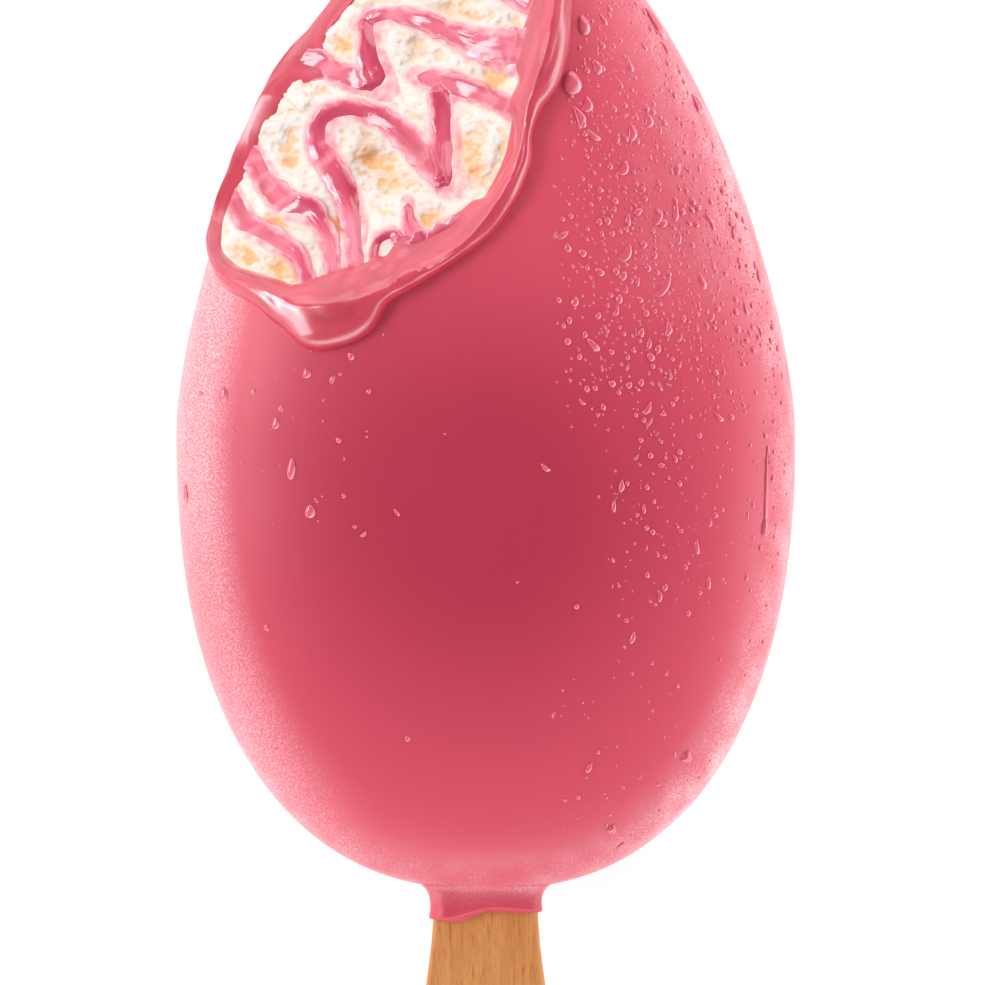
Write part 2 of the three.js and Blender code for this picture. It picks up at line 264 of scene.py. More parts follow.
def outward_at(p, step=0.02):
    """The direction straight out of the bar's surface at each point."""
    sides = [depth_in(p + step * axis) - depth_in(p - step * axis) for axis in np.eye(3)]
    return unit(np.stack(sides, axis=1))


def front_height(x, y):
    """How high the front of the bar is over its middle plane."""
    return HALF_THICK * np.maximum(1 - outline_share(x, y) ** CROWN, 0) ** (1 / CROWN)


# %% [markdown]
# ## Camera, floor and light
#
# The pop lies on a white table and the camera hangs high above it with a long lens, so that it sees almost
# no perspective. The camera goes in first, because everything else is judged through it.

# %% Camera
FRAME_WIDTH = 95.6
FRAME_MIDDLE = (0.66, -5.48)
LENS, SENSOR = 500, 36

camera = into_scene("camera", bpy.data.cameras.new("camera"))
camera.data.lens, camera.data.sensor_width = LENS, SENSOR
distance = LENS * FRAME_WIDTH / SENSOR * MM
camera.location = middle + Vector((FRAME_MIDDLE[0] * MM, FRAME_MIDDLE[1] * MM, distance))
camera.data.clip_start, camera.data.clip_end = 0.01, 20
bpy.context.scene.camera = camera
print(f"The camera hangs {distance:.2f} m over the bar")


# %% [markdown]
# A shader tree is a list of nodes with wires between them. One helper makes a node, sets its options, and
# gives each input either a number or the output of another node, so that a recipe reads from top to bottom.
# Colours are named as they look on a screen, and turned into the linear light that the renderer counts in.

# %% Nodes and colours
def fill(tree, made, inputs):
    """Gives each named input of a node a value, or the output of another node."""
    for socket, value in inputs.items():
        if isinstance(value, bpy.types.NodeSocket):
            tree.links.new(value, made.inputs[socket])
        else:
            made.inputs[socket].default_value = value


def node(tree, kind, inputs, output=0, **options):
    """Adds a node to a tree and gives one of its outputs."""
    made = tree.nodes.new("ShaderNode" + kind)
    for name, value in options.items():
        setattr(made, name, value)
    fill(tree, made, inputs)
    return made.outputs[output]


def colour(red, green, blue):
    """A colour as it looks on a screen, from 0 to 255, in linear light."""
    screen = np.array([red, green, blue]) / 255
    light = np.where(screen <= 0.04045, screen / 12.92, ((screen + 0.055) / 1.055) ** 2.4)
    return (*light.tolist(), 1.0)


# %% [markdown]
# Every finish here is built from the same few kinds of node, so each kind gets a short name.

# %% What finishes are made of
def new_finish(name):
    """A new material and its tree of nodes."""
    material = bpy.data.materials.new(name)
    material.use_nodes = True
    return material, material.node_tree


def surface(tree, **inputs):
    """Fills the main shader's inputs by their names, with spaces written as underscores."""
    named = {name.replace("_", " "): value for name, value in inputs.items()}
    fill(tree, tree.nodes["Principled BSDF"], named)


def object_place(tree):
    """Where a point is in its object, which a pattern in the piece follows."""
    return node(tree, "TexCoord", {}, output="Object")


def stored(tree, name, output="Fac"):
    """The number that is stored on the mesh under a name."""
    return node(tree, "Attribute", {}, output, attribute_name=name)


def blotches(tree, place, scale, detail=2, rough=0.5, swirl=0.0):
    """Random blotches, which are smaller when the scale is larger."""
    inputs = {"Vector": place, "Scale": scale, "Detail": detail, "Roughness": rough, "Distortion": swirl}
    return node(tree, "TexNoise", inputs)


def stretch(tree, value, start, end, low=0.0, high=1.0, **options):
    """A value's run from start to end, stretched to a run from low to high."""
    inputs = {"Value": value, "From Min": start, "From Max": end, "To Min": low, "To Max": high}
    return node(tree, "MapRange", inputs, **options)


def both(tree, share, other):
    """The product of two shares, held between 0 and 1."""
    return node(tree, "Math", {0: share, 1: other}, operation="MULTIPLY", use_clamp=True)


def blend(tree, share, first, second):
    """A mix of two colours: the first where share is 0 and the second where it is 1."""
    return node(tree, "Mix", {0: share, 6: first, 7: second}, output=2, data_type="RGBA")


def bumps(tree, height, strength, tall):
    """The surface's direction, as if height raised it by up to tall, in metres."""
    return node(tree, "Bump", {"Height": height, "Strength": strength, "Distance": tall})


# %% [markdown]
# The floor is a very large white light table: it is lit like any floor, and glows a little itself, so that
# the bar hardly casts a shadow. The light is a tent: bright all round, close above the table, and dim
# overhead. The middle of the bar faces the dim part and is deep pink, and the more its sides lean out, the
# more of the bright part they catch. A softbox on the left draws the highlights on the sauce, and three
# weaker ones keep the other sides open.

# %% Floor
FLOOR_SIZE = 12
TABLE_GREY, TABLE_GLOW = 0.32, 0.8
WHITE = (1, 1, 1, 1)

plain = bmesh.new()
bmesh.ops.create_grid(plain, x_segments=1, y_segments=1, size=FLOOR_SIZE / 2)
floor = into_scene("floor", as_mesh(plain, "floor"))
floor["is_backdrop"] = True

table, tree = new_finish("white_table")
surface(tree, Base_Color=(TABLE_GREY, TABLE_GREY, TABLE_GREY, 1), Roughness=0.9, Specular_IOR_Level=0,
        Emission_Color=WHITE, Emission_Strength=TABLE_GLOW)
floor.data.materials.append(table)

# %% The tent of light
OVERHEAD, ROUND_ABOUT = 0.42, 2.9
BRIGHT_UP_TO, DIM_FROM = 0.08, 0.5

world = bpy.data.worlds.new("tent")
world.use_nodes = True
sky = world.node_tree
height = node(sky, "SeparateXYZ", {0: node(sky, "TexCoord", {}, output="Generated")}, output="Z")
tent = stretch(sky, height, BRIGHT_UP_TO, DIM_FROM, ROUND_ABOUT, OVERHEAD, interpolation_type="SMOOTHSTEP")
fill(sky, sky.nodes["Background"], {"Color": WHITE, "Strength": tent})
bpy.context.scene.world = world
bpy.context.scene.view_settings.view_transform = "Standard"


# %% Four softboxes
def softbox(name, place, size, power):
    """A large lamp that faces the bar; the camera sees its light but not the lamp."""
    lamp = into_scene(name, bpy.data.lights.new(name, "AREA"))
    lamp.data.shape, lamp.data.size, lamp.data.size_y = "RECTANGLE", *size
    lamp.data.energy = power
    lamp.location = middle + Vector(place)
    lamp.rotation_euler = (-Vector(place)).to_track_quat("-Z", "Y").to_euler()
    lamp.visible_camera = False
    print(name, "shines with", power, "W")
    return lamp


softbox("left_box", (-0.46, 0.16, 0.36), (0.45, 0.17), 2.2)
softbox("right_box", (0.6, 0.05, 0.16), (0.7, 0.2), 1.3)
softbox("tip_box", (0.2, 0.55, 0.3), (0.6, 0.2), 0.8)
softbox("stick_box", (0.05, -0.6, 0.14), (0.7, 0.16), 0.8)

# %% [markdown]
# ## The edge of the bite
#
# The bite breaks the front of the coat along a curve and leaves over the bar's left flank and tip. The curve
# is named by a few places: across the front by x and y, and along the flank by an angle and a height. Seen
# from the middle of the bite it goes once round, so its distance and its height are two smooth functions of
# the angle, and everything that follows the edge can ask them.

# %% A smooth closed function through a few rows
TURN = 2 * np.pi


def eased_between(t, span, start, end, leaving, arriving):
    """The smooth curve from start to end over a span that leaves and arrives with the given slopes."""
    curve = (2 * t**3 - 3 * t**2 + 1) * start + (3 * t**2 - 2 * t**3) * end
    return curve + span * t * (1 - t) * ((1 - t) * leaving - t * arriving)


def round_curve(angles, values):
    """A smooth function of an angle, through the given values and closed after one turn."""
    order = np.argsort(angles)
    at, value = np.array(angles, float)[order], np.array(values, float)[order]
    at = np.concatenate([at[-2:] - TURN, at, at[:3] + TURN])
    value = np.concatenate([value[-2:], value, value[:3]])
    slope = np.gradient(value, at)

    def read(angle):
        a = at[2] + (angle - at[2]) % TURN
        i = np.searchsorted(at, a, side="right") - 1
        span = at[i + 1] - at[i]
        return eased_between((a - at[i]) / span, span, value[i], value[i + 1], slope[i], slope[i + 1])

    return read


# %% The edge itself
BITE = np.array([-9.8, 30.7, 5.4])
FRONT_EDGE = [
    (-25.9, 17.6), (-22.4, 14.6), (-16.1, 12.2), (-9.3, 14.2),
    (-1.5, 19.0), (2.8, 25.9), (4.5, 33.2), (6.2, 41.0),
]
FLANK_EDGE = [(83.5, 5), (92, -1), (102, -4.4), (112, -4.6), (122, -2.6), (134, -1.6), (142, 0.6)]

front = np.array(FRONT_EDGE)
front = np.column_stack([front, front_height(*front.T)])
flank_angle, flank_height = np.radians(np.array(FLANK_EDGE)[:, 0]), np.array(FLANK_EDGE)[:, 1]
flank_out = outline_radius(flank_angle)
flank = on_surface(
    np.column_stack([flank_out * np.cos(flank_angle), flank_out * np.sin(flank_angle), flank_height])
)
from_bite = np.vstack([front, flank]) - BITE
edge_angles = np.arctan2(from_bite[:, 1], from_bite[:, 0])
edge_radius = round_curve(edge_angles, np.hypot(from_bite[:, 0], from_bite[:, 1]))
edge_height = round_curve(edge_angles, from_bite[:, 2] + BITE[2])


def edge_point(angle):
    """Where the edge is, seen from the middle of the bite at an angle."""
    radius = edge_radius(angle)
    return np.column_stack(
        [BITE[0] + radius * np.cos(angle), BITE[1] + radius * np.sin(angle), edge_height(angle)]
    )


def bite_share(x, y):
    """How far out a place is in the bite: 0 in its middle and 1 on its edge."""
    dx, dy = x - BITE[0], y - BITE[1]
    return np.hypot(dx, dy) / edge_radius(np.arctan2(dy, dx))


print("The bite is", round(float(2 * edge_radius(np.linspace(0, TURN, 90)).mean()), 1), "mm across")

# %% [markdown]
# ## The bitten face
#
# Inside that edge the face is a sloping plane, drawn to the edge all round and hollowed in the middle. The
# ice cream is torn, not cut, so on top of that come broad crags, which level out softly before they would
# reach the coat. Cold foam then breaks in thin flakes: a fractal noise is rounded towards whole steps, so
# that calm flats end in ragged little cliffs. Crumbs lie on them, each the round top of one Voronoi cell,
# bent out of line by a noise vector. That vector starts at random unless it is seeded, so it gets a seed
# and the same crumbs come each time. A few hollows, where a crumb was pulled out, are listed.

# %% The smooth face
SLOPE_X, SLOPE_Y, SCOOP = 0.42, -0.28, 2.2


def plane(dx, dy):
    """The sloping plane's height at a distance from the middle of the bite."""
    return BITE[2] + SLOPE_X * dx + SLOPE_Y * dy


def bite_floor(x, y):
    """The plane, drawn to the edge all round and hollowed in the middle."""
    dx, dy = x - BITE[0], y - BITE[1]
    angle = np.arctan2(dy, dx)
    radius = edge_radius(angle)
    share = (np.hypot(dx, dy) / radius) ** 2
    lift = edge_height(angle) - plane(radius * np.cos(angle), radius * np.sin(angle))
    return plane(dx, dy) + lift * share - SCOOP * (1 - share)


# %% Broad crags, which the sauce follows too
CRAG, CRAG_TALL = 6.5, 1.2
CRAGS_RISE = (0.02, 0.25)
UNDER_COAT, SOFT, COAT_RIM = 1.8, 0.3, (0.0, 0.15)
ALMOST_SHARP = 0.01


def torn_base(x, y):
    """The bitten face with its crags, which die away at its edge and level out below the coat's inside."""
    rim = 1 - bite_share(x, y)
    crags = CRAG_TALL * waves(x / CRAG, y / CRAG, 1.3)
    torn = bite_floor(x, y) + crags * smooth(rim, *CRAGS_RISE)
    highest = front_height(x, y) - UNDER_COAT * smooth(rim, *COAT_RIM)
    soft = ALMOST_SHARP + SOFT * smooth(rim, *COAT_RIM)
    return np.where(rim > 0, -soft * np.logaddexp(-torn / soft, -highest / soft), torn)


# %% Foam that tears in flakes
FLAKE, FLAKE_SQUAT, FLAKE_STEP = 3.0, 0.75, 0.17
LEVELS, CLIFF, FLAT = 3.0, 0.65, 0.35
CRUMB, CRUMB_SQUAT, CRUMB_TALL, CRUMB_PATCH = 0.75, 0.8, 0.08, 4.2
BENT, BENT_OVER = 0.35, 1.1
CRUMB_SEED = 5

noise.seed_set(CRUMB_SEED)


def foam(x, y):
    """Calm flats that end in steep ragged steps, with round crumbs on them that are taller in places."""
    rough, crumbs = [], []
    for a, b in zip(x.tolist(), y.tolist()):
        shift = noise.noise_vector((a / BENT_OVER, b / BENT_OVER, 4.4))
        rough.append(noise.fractal((a / FLAKE, b / (FLAKE_SQUAT * FLAKE), 0.5), 1.0, 2.3, 4))
        spot = ((a + BENT * shift[0]) / CRUMB, (b + BENT * shift[1]) / (CRUMB_SQUAT * CRUMB), 3.5)
        crumbs.append(noise.voronoi(spot)[0][0])
    level = np.array(rough) * LEVELS
    whole = np.floor(level)
    steps = whole + CLIFF * smooth(level - whole, 0.25, 0.7) + FLAT * (level - whole)
    domes = 1 - np.minimum(np.array(crumbs), 1) ** 2
    crumbly = 0.4 + 0.6 * smooth(waves(x / CRUMB_PATCH, y / CRUMB_PATCH, 7.7), -0.3, 0.4)
    return FLAKE_STEP * (steps - level.mean()) + CRUMB_TALL * (domes - 0.6) * crumbly


# %% The deep hollows
HOLLOWS = [  # x, y, radius, depth
    (-8.8, 24.8, 1.6, 0.4), (-19.3, 16.4, 1.8, 0.4), (-23.4, 17.9, 1.2, 0.4), (-1.8, 27.8, 1.5, 0.5),
    (-1.0, 25.3, 1.3, 0.6), (-14.1, 20.5, 0.9, 0.4), (-18.8, 26.8, 1.0, 0.4), (0.9, 34.4, 1.3, 0.5),
    (-6.7, 37.5, 1.2, 0.3), (-13.7, 38.0, 1.2, 0.5), (-3.5, 41.4, 2.0, 0.4), (-20.5, 20.5, 1.3, 0.4),
    (-11.0, 27.2, 1.6, 0.4), (-5.2, 21.0, 1.2, 0.3),
]


def hollows(x, y):
    """How deep the named hollows are at each place, in mm."""
    return sum(deep * np.exp(-((x - a) ** 2 + (y - b) ** 2) / r**2) for a, b, r, deep in HOLLOWS)


# %% [markdown]
# ## Where the sauce runs
#
# Ribbons of raspberry sauce are folded into the ice cream and show as veins in the bite. Each vein is one or
# more chains of places with a width. A smooth curve through a chain gives its run, and the same curves tell
# the ice cream where to lie calmer and where it is stained pink.

# %% The veins' runs
VEINS = {
    "upper": [
        [(-24.6, 32.4, 3.4), (-22.4, 34.0, 3.0), (-20.9, 35.2, 2.8), (-18.6, 36.5, 2.2), (-16.6, 36.5, 1.9),
         (-14.4, 35.2, 1.8), (-10.2, 34.1, 2.4)],
        [(-10.2, 33.9, 2.8), (-11.0, 36.2, 2.2), (-11.4, 39.0, 1.7), (-11.2, 41.4, 1.1)],
        [(-12.2, 40.0, 1.4), (-9.4, 40.9, 1.3), (-6.2, 40.2, 1.6), (-3.2, 38.9, 1.8), (-0.2, 37.7, 2.6),
         (4.2, 36.8, 4.0), (7.2, 36.4, 4.2)],
    ],
    "middle": [
        [(-3.4, 24.2, 2.2), (-5.8, 26.8, 2.2), (-8.2, 29.4, 2.0), (-10.6, 31.0, 1.7), (-13.4, 31.6, 1.7),
         (-15.8, 30.6, 2.0), (-16.1, 28.4, 2.2), (-14.6, 25.6, 2.1), (-13.2, 22.4, 2.0), (-12.5, 19.2, 1.8),
         (-12.3, 15.4, 2.2), (-12.0, 12.4, 2.4)],
        [(-3.7, 24.0, 1.8), (-3.9, 28.0, 2.3), (-4.1, 31.6, 1.9), (-4.4, 34.2, 2.4)],
        [(-6.8, 34.9, 1.2), (-4.0, 34.1, 2.0), (-1.6, 33.4, 1.7), (1.2, 32.2, 1.5), (4.6, 30.4, 2.2)],
    ],
    "left": [
        [(-25.2, 29.6, 2.4), (-22.6, 27.0, 1.9), (-21.0, 24.4, 1.9), (-19.2, 22.5, 2.2), (-16.8, 21.6, 2.0),
         (-15.4, 19.6, 1.6), (-14.7, 16.6, 1.4), (-14.6, 12.2, 2.0)],
    ],
    "low": [
        [(-26.6, 26.4, 1.6), (-24.4, 23.0, 1.5), (-22.8, 20.4, 1.8), (-20.4, 19.0, 1.7), (-18.2, 17.4, 1.4),
         (-17.2, 15.2, 1.3), (-17.0, 12.0, 2.0)],
    ],
    "curl": [
        [(-10.5, 14.0, 1.0), (-10.8, 17.0, 0.8), (-10.2, 18.9, 0.9), (-9.0, 19.3, 1.2), (-8.1, 18.5, 1.1)],
    ],
    "hook": [
        [(-7.5, 22.6, 0.8), (-7.3, 20.4, 1.1), (-6.6, 18.8, 1.8), (-4.2, 15.8, 2.6)],
        [(-9.4, 15.2, 1.6), (-6.6, 17.4, 2.6), (-4.2, 18.8, 2.6), (-1.2, 20.6, 2.2)],
    ],
    "tip": [
        [(-17.6, 40.6, 1.5), (-14.0, 44.4, 1.7), (-10.4, 46.0, 1.8), (-6.2, 46.2, 1.6), (-1.6, 44.4, 1.5),
         (2.6, 42.6, 1.6), (6.8, 40.2, 2.0)],
    ],
}


# %% A smooth way along a chain
SPREAD = 1.3


def run(chain, share):
    """Places and widths along a chain, at shares from 0 to 1 of its length."""
    rows = np.array(chain)
    far = np.concatenate([[0], np.cumsum(np.hypot(*np.diff(rows[:, :2], axis=0).T))])
    slope = np.gradient(rows, far, axis=0)
    s = share * far[-1]
    i = np.clip(np.searchsorted(far, s, side="right") - 1, 0, len(far) - 2)
    span = (far[i + 1] - far[i])[:, None]
    t = (s - far[i])[:, None] / span
    return eased_between(t, span, rows[i], rows[i + 1], slope[i], slope[i + 1]) * [1, 1, SPREAD]


# %% How near the sauce is
steps = np.linspace(0, 1, 80)
all_chains = [chain for chains in VEINS.values() for chain in chains]
sauce_line = np.vstack([run(chain, steps) for chain in all_chains])
ahead = np.vstack([np.gradient(run(chain, steps)[:, :2], axis=0) for chain in all_chains])
sauce_heading = ahead / np.hypot(*ahead.T)[:, None]
sauce_length = np.cumsum(np.hypot(*ahead.T))
sauce_tree = kdtree.KDTree(len(sauce_line))
for i, (x, y, _) in enumerate(sauce_line):
    sauce_tree.insert((x, y, 0), i)
sauce_tree.balance()


def from_sauce(x, y):
    """How far each place is outside the nearest vein."""
    found = [sauce_tree.find((a, b, 0)) for a, b in zip(x.tolist(), y.tolist())]
    return np.array([gap - sauce_line[i][2] / 2 for _, i, gap in found])


print("The veins run in", len(all_chains), "chains,", round(float(sauce_length[-1])), "mm long in all")

# %% [markdown]
# ## The coating
#
# The coat is a thin shell that the bar got by dipping: an egg with a smaller egg taken out of it, opened by
# the bite. An icosphere is the best ball to start from, because its triangles are all alike and it has no
# poles to show as stars. Where the coat broke thin, along the left flank, the ice cream reaches almost to
# the outside, so the shell thins there.

# %% How thick the coat is
COAT, THIN_COAT = 1.1, 0.3
BROKEN_LEFT, BROKEN_UP = (14, 20), (12, 17)


def inside_coat(ball):
    """The ice cream's outside, which is the inside of the coat."""
    outer, inner = egg(ball), egg(ball, COAT)
    broken = smooth(-outer[:, 0], *BROKEN_LEFT) * smooth(outer[:, 1], *BROKEN_UP)
    share = 1 - broken * (1 - THIN_COAT / COAT)
    return outer + (inner - outer) * share[:, None]


# %% The block that opens the bite
CEILING = 30
BLOCK_MIDDLE, BLOCK_SIZE = (-10.5, 32.5), (45, 49)


def new_points(extruded):
    """The points among all that an extrude made."""
    return [made for made in extruded["geom"] if isinstance(made, bmesh.types.BMVert)]


def bite_block(face, cells):
    """Everything above a face, as one closed block."""
    def on_face(p):
        x, y = (p[:, i] * BLOCK_SIZE[i] + BLOCK_MIDDLE[i] for i in (0, 1))
        return np.column_stack([x, y, np.minimum(face(x, y), CEILING - 1)])

    bm = bmesh.new()
    bmesh.ops.create_grid(bm, x_segments=cells, y_segments=cells, size=0.5)
    shape(bm, on_face)
    walls = bmesh.ops.extrude_edge_only(bm, edges=[e for e in bm.edges if e.is_boundary])
    for vert in new_points(walls):
        vert.co.z = CEILING
    bmesh.ops.contextual_create(bm, geom=[e for e in bm.edges if e.is_boundary])
    return facing_out(bm)


def ball(subdivisions):
    """A ball of triangles that are all alike."""
    bm = bmesh.new()
    bmesh.ops.create_icosphere(bm, subdivisions=subdivisions, radius=1)
    return bm


# %% [markdown]
# Below the bar the coat runs down the stick as a short sleeve with a rolled, uneven end. It starts as a
# ball too, drawn out along the stick, because a ball is closed and has no seam. It widens where it leaves
# the bar, so that the join looks poured.

# %% The sleeve on the stick
SLEEVE_TOP, SLEEVE_END = -38.0, -46.6
SLEEVE_HALF_WIDTH, SLEEVE_HALF_THICK = 5.35, 1.95
SLEEVE_SQUARE = 3.2
ROLL_WIDER, ROLL_THICKER, ROLL_LONG = 0.14, 0.2, 0.7
FLARE_WIDER, FLARE_THICKER, FLARE_LONG = 0.45, 0.42, 0.6
END_LEFT, END_WAVE, END_BACK = 0.65, 0.25, 0.25
DRIP_TALL, DRIP_AT, DRIP_WIDE = 0.5, -0.8, 0.2


def lying_ball(around, along):
    """A ball with its poles along Y, ready to be drawn out."""
    bm = bmesh.new()
    bmesh.ops.create_uvsphere(bm, u_segments=around, v_segments=along, radius=1)
    bmesh.ops.rotate(bm, matrix=Matrix.Rotation(-np.pi / 2, 3, "X"), verts=bm.verts)
    return bm


def sleeve_shape(p):
    """A lying ball's points, drawn out to the sleeve."""
    x, along, z = p.T
    ring = np.maximum(np.hypot(x, z), TINY)
    turn = np.arctan2(z, x)
    share = np.arccos(np.clip(along, -1, 1)) / np.pi
    c, s = np.cos(turn), np.sin(turn)
    square = (np.abs(c) ** SLEEVE_SQUARE + np.abs(s) ** SLEEVE_SQUARE) ** (-1 / SLEEVE_SQUARE)
    c, s = c * square, s * square
    end = SLEEVE_END - END_LEFT * smooth(-c, -0.2, 0.75)
    end += END_WAVE * np.sin(2.6 * c + 1.2) - END_BACK * smooth(-s, 0, 1)
    y = SLEEVE_TOP + (end - SLEEVE_TOP) * share
    drop = -y - BASE_REACH
    roll = np.exp(-(((y - end) - ROLL_LONG) / ROLL_LONG) ** 2)
    flare = np.exp(-np.maximum(drop, -0.4) / FLARE_LONG)
    half = SLEEVE_HALF_WIDTH + ROLL_WIDER * roll + FLARE_WIDER * flare
    thick = SLEEVE_HALF_THICK + ROLL_THICKER * roll + FLARE_THICKER * flare
    blunt = np.minimum(1, ring * 4.5) ** 0.6
    drip = DRIP_TALL * np.exp(-(((c - DRIP_AT) / DRIP_WIDE) ** 2)) * (s > 0) * smooth(drop, -0.2, 1)
    return np.column_stack([half * c * blunt, y, (thick + drip) * s * blunt])


# %% [markdown]
# ## The stick
#
# A flat paddle stamped from thin beech: a narrow neck in the bar, a smooth flare and a wide round end to
# hold. A circle with many points becomes its outline when each point keeps its height and takes the half
# width that the stick has there. The filled circle is then extruded to the thickness, and the long edges are
# tumbled round with a bevel.

# %% The stick's outline
NECK, PADDLE = 5.0, 8.5
FLARE_START, FLARE_END = -44, -74
OUTER_END = -97
STICK_THICK = 2.5


def stick_outline(p, clear):
    """A circle's points, moved on to the stick's outline."""
    top, bottom = STICK_HIDDEN_END + clear, OUTER_END - clear
    neck, paddle = NECK + clear, PADDLE + clear
    y = (top + bottom) / 2 + (top - bottom) / 2 * p[:, 1]
    half = neck + (paddle - neck) * smooth(-y, -FLARE_START, -FLARE_END)
    upper = np.sqrt(np.maximum(neck**2 - np.maximum(y - (top - neck), 0) ** 2, 0)) / neck
    lower = np.sqrt(np.maximum(paddle**2 - np.maximum((bottom + paddle) - y, 0) ** 2, 0)) / paddle
    return np.column_stack([np.sign(np.round(p[:, 0], 6)) * half * upper * lower, y, p[:, 2]])


def stick(clear=0.0):
    """The stick's blank; clear makes it larger all round."""
    thick = STICK_THICK + 2 * clear
    bm = bmesh.new()
    bmesh.ops.create_circle(bm, cap_ends=True, segments=200, radius=1)
    shape(bm, lambda p: stick_outline(p, clear))
    grown = bmesh.ops.extrude_face_region(bm, geom=bm.faces[:])
    bmesh.ops.translate(bm, vec=(0, 0, thick), verts=new_points(grown))
    bmesh.ops.translate(bm, vec=(0, 0, -thick / 2), verts=bm.verts)
    return facing_out(bm)


# %% [markdown]
# ## The coat's finish
#
# The coat is strawberry compound: deep pink, satin, and slightly translucent. Its pink is painted paler
# towards the outline and deepest in the middle of the front, a painted light that adds to the side light the
# flanks catch. Along the flanks lies a veil of frost made of specks a tenth of a millimetre across, which
# also paints a pale sheen on the edges. Both are numbers stored on the mesh: the first makes the pink paler,
# and the second tells the finish how much white veil and how many white specks to scatter with noise.

# %% Strawberry coating
strawberry, tree = new_finish("strawberry_coating")
place = object_place(tree)
pink = blend(tree, blotches(tree, place, 60, 3), colour(168, 37, 64), colour(177, 42, 70))
# Painted light: the pink is painted paler towards the outline, as the flanks catch more side light
edge_lit_pink = blend(tree, stored(tree, "painted_edge_light"), pink, colour(208, 71, 92))
speck = blotches(tree, place, 5200, 2, 0.7)
# The white veil is partly frost specks and partly a painted pale sheen along the flanks
veil = both(tree, stored(tree, "frost_and_painted_sheen"), stretch(tree, speck, 0.45, 0.68, 0.5, 2.0))
frost_and_sheen_pink = blend(tree, veil, edge_lit_pink, colour(246, 216, 220))
surface(tree, Base_Color=frost_and_sheen_pink, Normal=bumps(tree, speck, 0.25, 0.00006), Roughness=0.42, IOR=1.46,
        Subsurface_Weight=0.12, Subsurface_Scale=0.0012, Subsurface_Radius=(1.0, 0.4, 0.4),
        Sheen_Weight=0.15, Sheen_Roughness=0.35)

# %% The poured shell
REST_FLAT, REST_SIZE = 0.4, 100
UNEVEN, UNEVEN_OVER = 0.06, 9


def poured(p):
    """The outside of the coat, a little uneven from the dip."""
    p = egg(p)
    return p + outward_at(p) * (UNEVEN * waves(*(p / UNEVEN_OVER).T))[:, None]


rest = bmesh.new()
bmesh.ops.create_cube(rest, size=REST_SIZE)
bmesh.ops.translate(rest, vec=(0, 0, REST_FLAT - HALF_THICK - REST_SIZE / 2), verts=rest.verts)
coat = carve(
    shape(ball(7), poured),
    ("UNION", facing_out(shape(lying_ball(96, 72), sleeve_shape))),
    ("DIFFERENCE", rest),
    ("DIFFERENCE", shape(ball(6), inside_coat)),
    ("DIFFERENCE", stick(clear=0.02)),
    ("DIFFERENCE", bite_block(bite_floor, 90)),
)

# %% Where it is frosted and sheened, and where pale light is painted on
LEFT_FROST_SHEEN, LEFT_FROST_SHEEN_UP, RIGHT_FROST_SHEEN, BASE_FROST_SHEEN, SHOULDER_FROST_SHEEN = 0.24, 0.16, 0.35, 0.18, 0.09
SHADED_MIDDLE = (0.0, -5.5)
EDGE_LIGHT_LEFT, EDGE_LIGHT_RIGHT, EDGE_LIGHT_UP, EDGE_LIGHT_DOWN = 39, 29, 28, 34

x, y, z = points_of(coat).T
nearness = outline_share(x, y)
off_cut = np.abs(z - bite_floor(x, y))
# The veil mask: real frost specks, and also a painted pale sheen on the flanks and the upper right shoulder
left_veil = smooth(-x / HALF_WIDTH, 0.3, 0.8) * smooth(nearness, 0.79, 0.92)
right_veil = smooth(x / HALF_WIDTH, 0.3, 0.8) * smooth(nearness, 0.86, 1.0)
base_veil = smooth(-y / BASE_REACH, 0.3, 0.8) * smooth(nearness, 0.9, 1.0)
shoulder_veil = smooth(x, 10, 19) * smooth(y, 6, 22)
left_veil *= LEFT_FROST_SHEEN + LEFT_FROST_SHEEN_UP * smooth(y, -20, -2)
veils = RIGHT_FROST_SHEEN * right_veil + BASE_FROST_SHEEN * base_veil + SHOULDER_FROST_SHEEN * shoulder_veil
patchy = 0.85 + 0.7 * waves(x / 2, y / 3, z / 2)
bar_only = smooth(y, -46, -43.5) * smooth(off_cut, 0.0, 0.5)
tint(coat, "frost_and_painted_sheen", (left_veil + patchy * veils) * bar_only)

# Painted light: paler towards the outline and darkest round the shaded middle of the front
off_x, off_y = x - SHADED_MIDDLE[0], y - SHADED_MIDDLE[1]
edge_light_x = np.where(off_x < 0, EDGE_LIGHT_LEFT, EDGE_LIGHT_RIGHT)
edge_light_y = np.where(off_y < 0, EDGE_LIGHT_DOWN, EDGE_LIGHT_UP)
tint(coat, "painted_edge_light", smooth(np.hypot(off_x / edge_light_x, off_y / edge_light_y), 0.2, 1.0))
hand_over(coat, "pink_coating", strawberry, "coating", "coating")

# %% [markdown]
# ## The ice cream
#
# The torn face needs far finer points than the hidden core, so the two are made apart: a plain egg for the
# core, and a block with hundreds of cells each way for everything that the bite took. One cut joins them.
# Two numbers are stored at each point for the finish: a painted warm shade, which paints the cream tan in
# hollows and on slopes that face away from the left softbox, and how close the place is to the sauce, which
# stains it.

# %% The relief, worked out once on a grid
TORN_CELLS = 370

